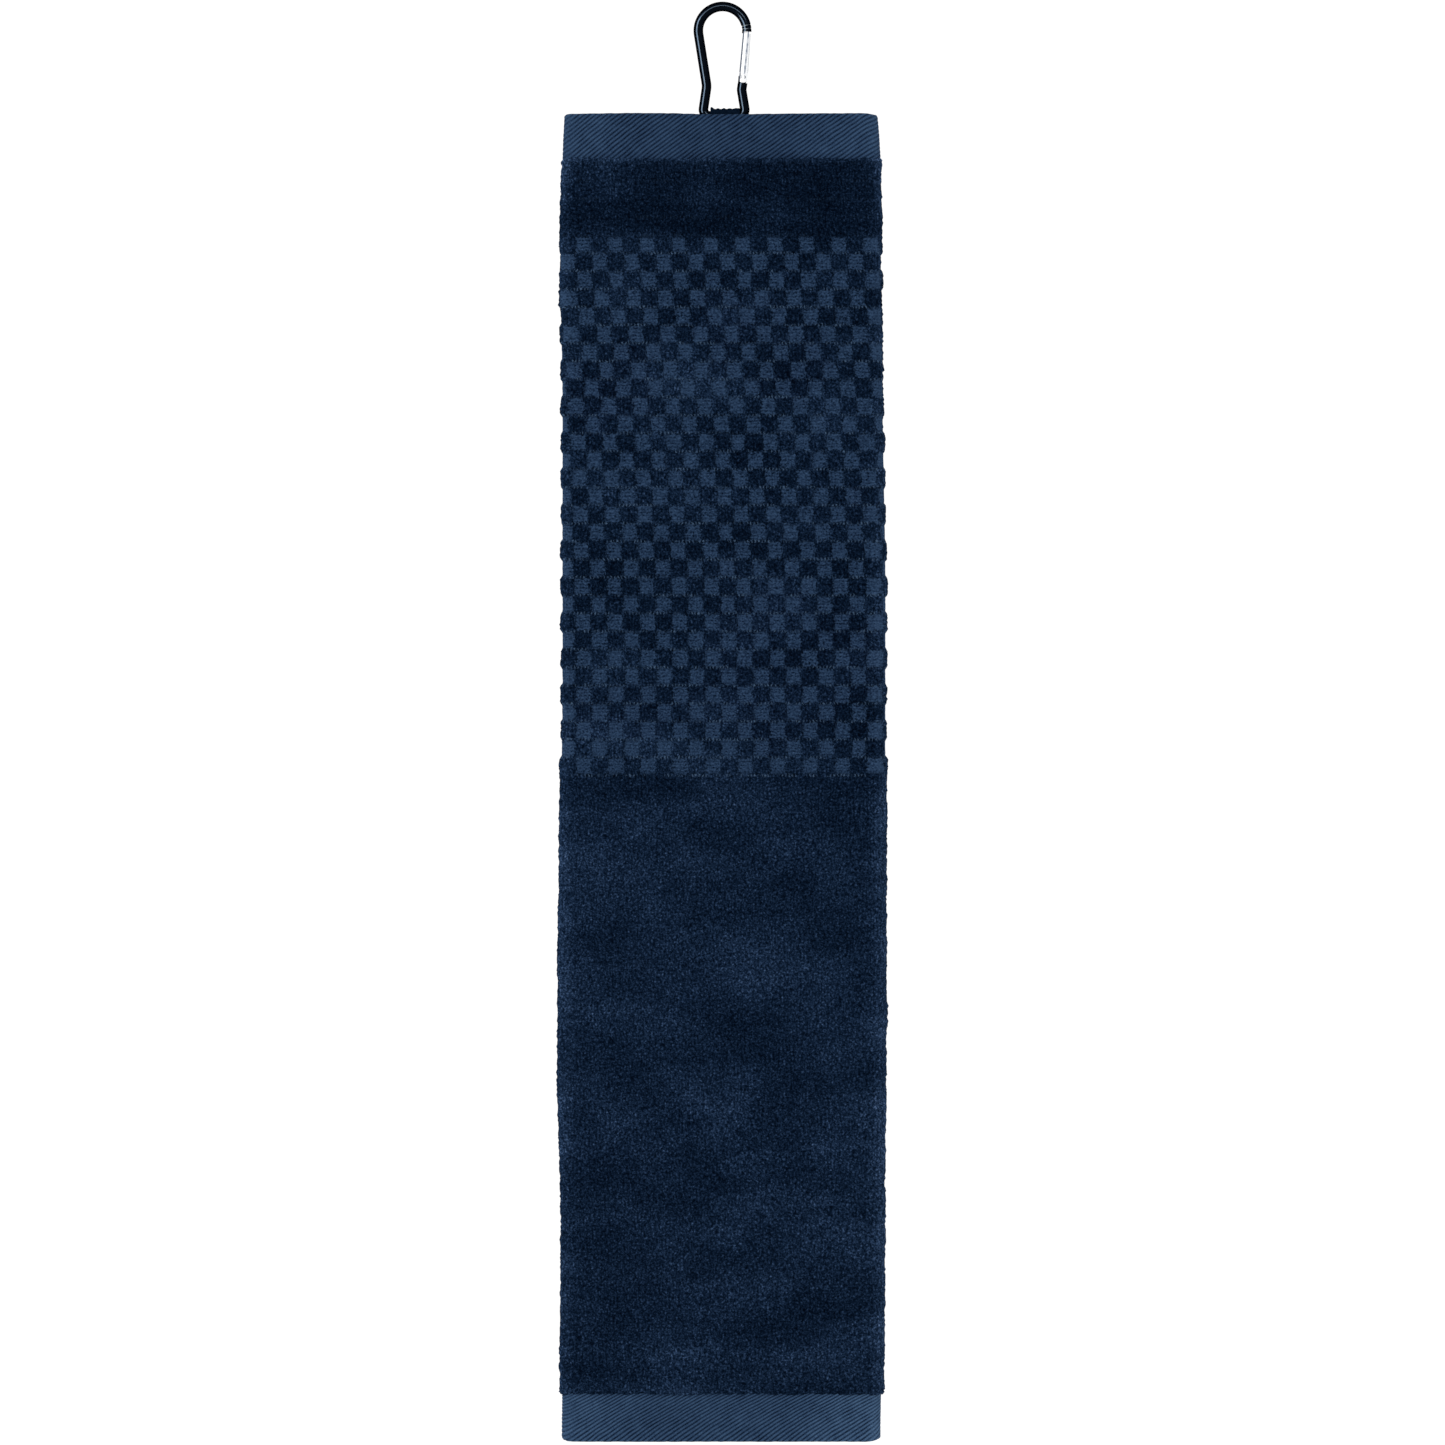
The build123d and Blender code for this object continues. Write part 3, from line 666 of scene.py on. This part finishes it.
def velour():
    """Cut pile with a band of squares, and the looped reverse."""
    g = Graph("velour_navy", Specular_IOR_Level=0.0, Sheen_Weight=0.03, Sheen_Roughness=0.5,
              Sheen_Tint=rgba(0.15, 0.35, 0.75))
    rest = g.field("rest")
    u, v, back = g.split(g.field("weave"))
    x, _, z = g.split(rest)
    wobble = g.split(g.noise(rest, 0.55, 1.0, colour=True))
    wu = g.math("MULTIPLY_ADD", g.add(wobble[0], -0.5), 0.42, u)
    wv = g.math("MULTIPLY_ADD", g.add(wobble[1], -0.5), 0.30, v)
    sides = []
    for value in (wu, wv):
        wave = g.times(g.wave(value, 0.5), 2.1)
        sides.append(g.math("MAXIMUM", g.math("MINIMUM", wave, 1.0), -1.0))
    in_band = g.times(g.span(wv, -0.02, 0.3), g.span(wv, ROWS - 0.28, ROWS + 0.02, 1.0, 0.0))
    # Tufts: fine grain over small bright tips, in upright columns.
    grain = g.noise(rest, 1.35, 2.0, 0.65)
    tips = g.cells(rest, 0.78)
    ragged = g.centred(grain, 1.6)
    flat = g.times(g.span(g.add(g.times(*sides), ragged), -0.15, 0.85), in_band)
    locks = g.noise(g.stretch(rest, (1, 1, 0.72)), 0.27, 1.5)
    column = g.wave(g.add(u, g.centred(locks, 0.5)), TUFT_COLUMNS)
    tuft = g.add(g.centred(grain, 9.3), g.times(g.add(tips, -0.45), -2.4),
                 g.centred(locks, 0.4), g.times(column, 0.24))
    cloud = g.add(g.centred(g.noise(g.stretch(rest, (0.75, 1, 1.3)), 0.042, 2.5), 3.3),
                  g.centred(g.noise(g.stretch(rest, (0.3, 1, 1)), 0.028, 1.5), 1.5))
    # The nap lies darker above and in the band than on the long lower part.
    band_end = BAND_TOP - ROWS * ROW
    nap = g.add(g.span(z, band_end - 16, band_end - 2, 0.0, -0.62), g.times(in_band, 0.14),
                g.span(z, PILE_TOP - 3.2, PILE_TOP - 0.8, 0.0, 0.95))
    # Paler strips along both folded side edges, stronger towards the top: painted sheen of the rounded
    # folds, and partly pile parted at the folds.
    top_sheen_and_wear = g.span(z, BAND_TOP, PILE_TOP - 12, 1.0, 2.2)
    side_sheen_and_wear = g.add(g.span(x, -67, -59.5, 0.78, 0.0), g.span(x, 59, 67, 0.0, 1.22))
    edge_sheen_and_wear = g.times(side_sheen_and_wear, top_sheen_and_wear)
    tone = g.math("POWER", 2.0, g.add(tuft, cloud, nap, edge_sheen_and_wear))
    pile = g.shade(PILE_BLUE, tone, (1.17, 1.0, 0.89))
    # Flat squares: fine cross ribs.
    rib = g.wave(wv, 5.5)
    bead = g.times(g.wave(u, TUFT_COLUMNS), rib, 0.12)
    flat_tone = g.add(1.0, g.times(rib, 0.26), bead, g.centred(grain, 4.0), g.times(cloud, 0.12),
                      g.times(edge_sheen_and_wear, 0.5))
    woven = g.shade(FLAT_BLUE, g.math("MAXIMUM", flat_tone, 0.1), (1.12, 1.0, 0.88))
    colour = g.mix(flat, pile, woven)
    # Small uncut loops along the rows' edges.
    shaken = g.split(g.noise(rest, 0.8, 1.0, colour=True))
    near = g.add(v, g.centred(shaken[0], 0.16))
    line = g.math("SUBTRACT", near, g.math("ROUND", near))
    across = g.add(g.times(line, g.centred(shaken[2], 16.0)), g.centred(shaken[1], 1.1),
                   g.times(u, TUFT_COLUMNS))
    loop_row = g.span(g.math("ABSOLUTE", line), 0.03, 0.11, 1.0, 0.0)
    loop_gaps = g.times(g.span(g.noise(rest, 0.3, 2.0), 0.42, 0.60),
                        g.span(g.noise(rest, 0.06, 1.0), 0.35, 0.5, 0.35, 1.0))
    loop_ends = g.times(g.span(v, -0.1, 0.9, 0.1, 1.0), g.span(v, ROWS, ROWS + 0.3, 1.0, 0.0))
    loops = g.times(loop_row, g.span(g.wave(across), 0.05, 0.95), loop_gaps, loop_ends)
    colour = g.mix(g.times(loops, 0.85), colour, rgba(0.050, 0.088, 0.150))
    # Reverse: uncut loops, with the band's squares showing through.
    loop_cell = g.cells(g.stretch(rest, (1, 1, 0.8)), 0.72)
    reverse_tone = g.add(1.25, g.times(loop_cell, -1.1), g.times(cloud, 0.2), g.times(flat, -0.25))
    reverse = g.scaled(rgba(0.011, 0.025, 0.055), reverse_tone)
    colour = g.mix(g.span(back, 0.3, 0.7), colour, reverse)
    height = g.add(g.times(grain, g.span(flat, 0, 1, 1.6, 0.35)), g.times(locks, 1.0),
                   g.times(rib, flat, 0.14), g.times(loops, 0.7), g.times(back, loop_cell, -1.2))
    return g.finish(colour, height, 0.0005, g.span(grain, 0.3, 0.7, 0.95, 0.75))


def twill():
    """Flat woven hem: broad slanting ribs with grooves between them, their shade painted into the colour.
    """
    g = Graph("twill_navy", Specular_IOR_Level=0.02, Sheen_Weight=0.03, Sheen_Roughness=0.5,
              Sheen_Tint=rgba(0.2, 0.4, 0.8))
    rest = g.field("rest")
    q, along, back = g.split(g.field("weave"))
    x, _, z = g.split(rest)
    part = g.math("FRACT", q)
    ridge = g.times(g.math("ABSOLUTE", g.add(part, -0.5)), 2.0)
    fine = g.noise(rest, 1.5, 2.0, 0.65)
    # Painted shade: the grooves are darkened in the colour, besides their real depth in the mesh and bump.
    groove = g.times(g.span(g.add(ridge, g.centred(fine, 1.2)), 0.30, 0.90),
                     g.span(g.math("ABSOLUTE", x), 59, 63.5, 1.0, 0.7))
    yarn = g.wave(along, 1.25)
    patch = g.add(g.centred(g.noise(rest, 0.06, 2.0), 0.9), g.centred(g.noise(rest, 0.22, 1.0), 0.9))
    tone = g.add(1.30, g.times(groove, -1.0), g.centred(fine, 2.4), g.times(yarn, 0.08),
                 g.times(patch, 0.7))
    # Pile fibres shade the strip beside the pile, and the cloth is paler towards the folds.
    beside = g.times(g.span(z, PILE_TOP - 0.5, PILE_TOP + 3.2, 0.8, 1.0),
                     g.span(z, PILE_BOTTOM - 2.5, PILE_BOTTOM + 0.5, 1.0, 0.8))
    ends = g.add(g.span(g.math("ABSOLUTE", x), 20, 62, 1.0, 1.25), g.span(x, 58, 64, 0.0, 0.3))
    low_right = g.times(g.span(z, -400, -300, 0.25, 0.0), g.span(x, 0, 60))
    low = g.add(g.span(z, -400, -300, 1.36, 1.0), low_right)
    tone = g.math("MAXIMUM", g.times(tone, beside, low, ends), 0.05)
    colour = g.shade(rgba(0.0175, 0.0375, 0.0775), tone, (1.12, 1.0, 0.84))
    colour = g.mix(g.times(back, 0.25), colour, rgba(0.008, 0.018, 0.040))
    height = g.add(g.times(groove, -1.0), g.times(fine, 0.6), g.times(yarn, 0.15))
    return g.finish(colour, height, 0.00018, g.span(fine, 0.3, 0.7, 0.85, 0.65))


def side_weave():
    """Plain woven selvedge along the flaps' free sides."""
    g = Graph("selvedge_navy", Specular_IOR_Level=0.03, Sheen_Weight=0.03, Sheen_Tint=rgba(0.35, 0.5, 0.8))
    rest = g.field("rest")
    w, z, _ = g.split(g.field("weave"))
    fine = g.noise(rest, 1.3, 2.0, 0.6)
    weft = g.wave(z, 1.1)
    warp = g.wave(w, 1.3)
    knit = g.times(weft, warp)
    tone = g.add(1.0, g.times(knit, 0.22), g.centred(fine, 0.9),
                 g.centred(g.noise(rest, 0.07, 2.0), 0.5))
    colour = g.scaled(rgba(0.0150, 0.0320, 0.0680), tone)
    return g.finish(colour, g.add(g.times(knit, 0.5), fine), 0.00018, g.span(fine, 0.3, 0.7, 0.85, 0.68))


def tape_weave():
    """Dark narrow tape of the hanging loop, ribbed across its width."""
    g = Graph("tape_dark_navy", Specular_IOR_Level=0.0)
    rest = g.field("rest")
    w, run, _ = g.split(g.field("weave"))
    fine = g.noise(rest, 2.2, 2.0, 0.6)
    weave = g.times(g.wave(run, 1.1), g.wave(w, 1.4))
    tone = g.add(1.0, g.times(weave, 0.2), g.centred(fine, 2.4))
    colour = g.shade(rgba(0.0024, 0.0064, 0.0150), g.math("MAXIMUM", tone, 0.05), (1.2, 1.0, 0.9))
    return g.finish(colour, g.add(g.times(weave, 0.5), fine), 0.00022, g.span(fine, 0.3, 0.7, 0.9, 0.7))


def thread():
    """Twisted sewing thread."""
    g = Graph("thread_navy", Specular_IOR_Level=0.3, Sheen_Weight=0.1)
    twist, turn, _ = g.split(g.field("weave"))
    ply = g.math("SINE", g.add(g.times(twist, 3.0), turn))
    tone = g.add(1.0, g.times(ply, 0.3))
    return g.finish(g.scaled(rgba(0.020, 0.040, 0.080), tone), ply, 0.00006, g.span(ply, -1, 1, 0.7, 0.5))


ROD_R = 0.002                   # metres, as everything that the metal's graphs measure
BEND_R = 0.010                  # radius of the top bend's centre line
PIVOT = Vector(joint("gate_hinge")["pos_m"])
GATE_AXIS = Vector(joint("plunger_slide")["axis"])


def metal_grain(g, scale):
    """Fine random grain of a metal surface, from its own place on the part."""
    place = g.node("ShaderNodeTexCoord", {}).outputs["Object"]
    return place, g.noise(place, scale, 3.0, 0.6)


def black_gloss():
    """Hard black anodised rod, nearly mirror smooth with faint scuffs, and dull in the nose's grooves."""
    g = Graph("black_anodised", Metallic=1.0, Specular_Tint=rgba(0.02, 0.03, 0.05))
    place, fine = metal_grain(g, 2500.0)
    scuff = g.noise(g.stretch(place, (1, 1, 0.35)), 900.0, 4.0, 0.7)
    wear = g.span(scuff, 0.58, 0.80)
    colour = g.mix(wear, rgba(0.0020, 0.0032, 0.0056), rgba(0.0040, 0.0058, 0.0090))
    x, y, z = g.split(place)
    z = g.add(z, BEND_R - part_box("carabiner_body")[1].z + ROD_R)
    out = g.math("SQRT", g.add(g.times(x, x), g.times(z, z)))
    from_axis = g.math("SQRT", g.add(g.math("POWER", g.add(out, -BEND_R), 2.0), g.times(y, y)))
    turn = g.math("ARCTAN2", z, x)
    cut = g.times(g.span(from_axis, ROD_R - 0.00012, ROD_R - 0.00005, 1.0, 0.0), g.span(turn, 0.045, 0.06),
                  g.span(turn, 0.24, 0.26, 1.0, 0.0), g.span(from_axis, ROD_R - 0.0002, ROD_R - 0.00018))
    colour = g.mix(cut, colour, rgba(0.012, 0.016, 0.022))
    roughness = g.add(g.span(scuff, 0.35, 0.7, 0.11, 0.18), g.times(cut, 0.4))
    return g.finish(colour, fine, 0.000004, roughness)


def gate_offset(g, place, spread):
    """Distance to the right of the gate's axis, less an amount that grows by spread upwards."""
    x, _, z = g.split(place)
    right = g.add(x, -PIVOT.x)
    up = g.add(z, -PIVOT.z)
    return g.add(g.times(right, GATE_AXIS.z), g.times(up, -GATE_AXIS.x - spread))


def bright_metal():
    """Satin aluminium gate, brushed along its length, with painted dark reflections: a streak in its right
    half and a line down its left edge."""
    g = Graph("satin_aluminium", Metallic=1.0, Specular_Tint=rgba(0.05, 0.06, 0.08))
    place, fine = metal_grain(g, 2200.0)
    brush = g.noise(g.stretch(place, (6, 6, 0.25)), 1100.0, 3.0, 0.6)
    shaken = g.centred(fine, 0.0005)
    off = g.add(gate_offset(g, place, 0.022), -0.00032, shaken)
    up = g.split(place)[2]
    rim = g.add(gate_offset(g, place, 0.0135), 0.0016, g.times(shaken, 0.3))
    # Painted dark reflections mixed into the colour: a streak right of the gate's axis and a line down its
    # left edge.
    painted_reflection_streak = g.times(g.span(g.math("ABSOLUTE", off), 0.0001, 0.0006, 1.0, 0.0),
                     g.span(g.noise(g.stretch(place, (1, 1, 0.4)), 700.0, 3.0, 0.7), 0.35, 0.6, 0.35, 1.0))
    colour = g.mix(g.span(brush, 0.35, 0.65), rgba(0.90, 0.92, 0.94), rgba(0.97, 0.97, 0.98))
    painted_reflection_streak = g.times(painted_reflection_streak, g.span(up, PIVOT.z + 0.0008, PIVOT.z + 0.0018))
    painted_reflection_streak = g.math("MAXIMUM", painted_reflection_streak, g.span(g.math("ABSOLUTE", rim), 0.00015, 0.0004, 1.0, 0.0))
    colour = g.mix(painted_reflection_streak, colour, rgba(0.16, 0.20, 0.27))
    return g.finish(colour, brush, 0.00001, g.span(fine, 0.3, 0.7, 0.24, 0.36))


def steel(name, dark, light, low, high):
    """Plain steel of the plunger and spring."""
    g = Graph(name, Metallic=1.0)
    _, fine = metal_grain(g, 3000.0)
    return g.finish(g.mix(fine, dark, light), fine, 0.00001, g.span(fine, 0.3, 0.7, low, high))


def rivet_metal():
    """The hinge rivet: a ring where its head was pressed into the gate, a dip in the bump with painted
    shade.
    """
    g = Graph("rivet_aluminium", Metallic=1.0)
    place, fine = metal_grain(g, 2500.0)
    x, _, z = g.split(place)
    away = g.node("ShaderNodeCombineXYZ", {0: g.add(x, -PIVOT.x), 2: g.add(z, -PIVOT.z)}).outputs[0]
    radius = g.node("ShaderNodeVectorMath", {0: away}, operation="LENGTH").outputs["Value"]
    pressed_ring_dip_and_shade = g.span(radius, 0.0005, 0.0007)
    # Painted shade: the ring is darker on one side of the rivet than on the other, as light falls.
    side = g.span(g.add(g.add(x, -PIVOT.x), g.add(z, -PIVOT.z)), -0.0012, 0.0008, 0.35, 1.0)
    colour = g.mix(fine, rgba(0.86, 0.87, 0.89), rgba(0.95, 0.95, 0.96))
    colour = g.mix(g.times(pressed_ring_dip_and_shade, side), colour, rgba(0.05, 0.07, 0.10))
    return g.finish(colour, g.add(fine, g.times(pressed_ring_dip_and_shade, -2.0)), 0.00002, g.span(fine, 0.3, 0.7, 0.25, 0.4))


velour_material = velour()
twill_material = twill()
side_material = side_weave()
tape_material = tape_weave()
thread_material = thread()
black_material = black_gloss()
gate_material = bright_metal()
rivet_material = rivet_metal()
plunger_material = steel("plunger_steel", rgba(0.45, 0.46, 0.48), rgba(0.62, 0.63, 0.65), 0.28, 0.4)
spring_material = steel("spring_steel", rgba(0.36, 0.37, 0.39), rgba(0.5, 0.51, 0.53), 0.2, 0.34)


def dress(obj, material):
    obj.data.materials.clear()
    obj.data.materials.append(material)


for node, material in (("carabiner_body", black_material), ("carabiner_gate", gate_material),
                       ("gate_hinge_pin", rivet_material), ("gate_plunger", plunger_material)):
    dress(frame["nodes"][node], material)

# ---- Gate spring, which the plunger presses together -----------------------------------------
spring_node = frame["nodes"]["gate_spring"]
spring = bpy.data.objects.new("gate_spring_coil", spring_node.data.copy())
bpy.context.scene.collection.objects.link(spring)
dress(spring, spring_material)
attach(spring, "gate")
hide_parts("gate_spring")
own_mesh(spring)


def bend(obj):
    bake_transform(obj)


for obj in (towel_front, inner_cloth, outer_cloth):
    dress(obj, velour_material)
for piece in (towel_front, inner_cloth, inner_side, inner_seam, hanging_loop, loop_seam,
              seam_rows["top"], seam_rows["bottom"]):
    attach(piece, "towel")
for piece in (outer_side, outer_seam, seam_rows["top_outer"], seam_rows["bottom_outer"]):
    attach(piece, "outer_flap")
bend(outer_cloth)
for end in ("top", "bottom"):
    front_hem, inner_hem, outer_hem = hems[end]
    for piece in hems[end]:
        dress(piece, twill_material)
    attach(front_hem, "towel")
    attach(inner_hem, "towel")
    bend(outer_hem)
    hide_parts(f"{end}_hem_middle", f"{end}_hem_left_fold")
    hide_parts(f"{end}_hem_inner")
    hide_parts(f"{end}_hem_outer")
    dress(seam_rows[end], thread_material)
    dress(seam_rows[end + "_outer"], thread_material)
    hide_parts(f"{end}_hem_seam")
    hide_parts(f"{end}_hem_outer_seam")
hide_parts("middle_panel", "left_fold")
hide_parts("inner_flap")
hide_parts("outer_flap")
for piece, node in ((inner_side, "inner_side_hem"), (outer_side, "outer_side_hem")):
    dress(piece, side_material)
    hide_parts(node)
for piece, node in ((inner_seam, "inner_side_seam"), (outer_seam, "outer_side_seam"),
                    (loop_seam, "loop_stitching")):
    dress(piece, thread_material)
    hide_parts(node)
dress(hanging_loop, tape_material)
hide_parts("hang_loop")

# ---- Studio ----------------------------------------------------------------------------------
SURROUND = 1.04                 # strength of the white surround
world = bpy.data.worlds.new("studio")
world.use_nodes = True
world.node_tree.nodes["Background"].inputs["Color"].default_value = (1, 1, 1, 1)
world.node_tree.nodes["Background"].inputs["Strength"].default_value = SURROUND
bpy.context.scene.world = world
bpy.context.scene.view_settings.view_transform = "Standard"


def soft_light(name, place, target, width, height, power, only_on=(), colour=(1, 1, 1)):
    """An area light. With only_on, it lights those objects alone."""
    data = bpy.data.lights.new(name, "AREA")
    data.shape = "RECTANGLE"
    data.size = width
    data.size_y = height
    data.energy = power
    data.color = colour
    obj = bpy.data.objects.new(name, data)
    obj.location = place
    obj.rotation_euler = (Vector(target) - Vector(place)).to_track_quat("-Z", "Y").to_euler()
    bpy.context.scene.collection.objects.link(obj)
    if only_on:
        group = bpy.data.collections.new(name + "_receivers")
        for receiver in only_on:
            group.objects.link(receiver)
        obj.light_linking.receiver_collection = group


soft_light("key", (-1.1, -1.3, 0.7), (0, 0, -0.3), 0.7, 0.7, 14.0)
# Strips that only the glossy rod mirrors: on the left and above in front, and on both sides and
# above behind.
ROD = [frame["nodes"]["carabiner_body"]]
STRIP_WHITE = (1.0, 0.88, 0.68)
soft_light("left_strip", (-0.52, -0.60, -0.02), (0, 0, -0.02), 0.34, 0.7, 85.0, ROD, STRIP_WHITE)
soft_light("top_strip", (0, -0.72, 0.28), (0, 0, 0), 0.9, 0.12, 24.0, ROD, STRIP_WHITE)
soft_light("rear_right_strip", (0.52, 0.60, -0.02), (0, 0, -0.02), 0.34, 0.7, 85.0, ROD, STRIP_WHITE)
soft_light("rear_left_strip", (-0.66, 0.52, -0.02), (0, 0, -0.02), 0.2, 0.7, 60.0, ROD, STRIP_WHITE)
soft_light("rear_top_strip", (0, 0.70, 0.38), (0, 0, 0), 0.9, 0.12, 24.0, ROD, STRIP_WHITE)

floor_mesh = bpy.data.meshes.new("floor")
FLOOR_HALF = 4.0
FLOOR_Z = -0.66
floor_corners = [(x * FLOOR_HALF, y * FLOOR_HALF, FLOOR_Z) for x, y in ((-1, -1), (1, -1), (1, 1), (-1, 1))]
floor_mesh.from_pydata(floor_corners, [], [(0, 1, 2, 3)])
floor = bpy.data.objects.new("floor", floor_mesh)
bpy.context.scene.collection.objects.link(floor)
paper = Graph("floor_paper", Roughness=0.9, Specular_IOR_Level=0.0)
paper_grain = paper.noise(paper.node("ShaderNodeTexCoord", {}).outputs["Object"], 60.0, 2.0)
paper_shade = paper.mix(paper_grain, rgba(0.97, 0.97, 0.97), rgba(0.99, 0.99, 0.99))
paper.put(paper.shader.inputs["Base Color"], paper_shade)
floor_mesh.materials.append(paper.material)
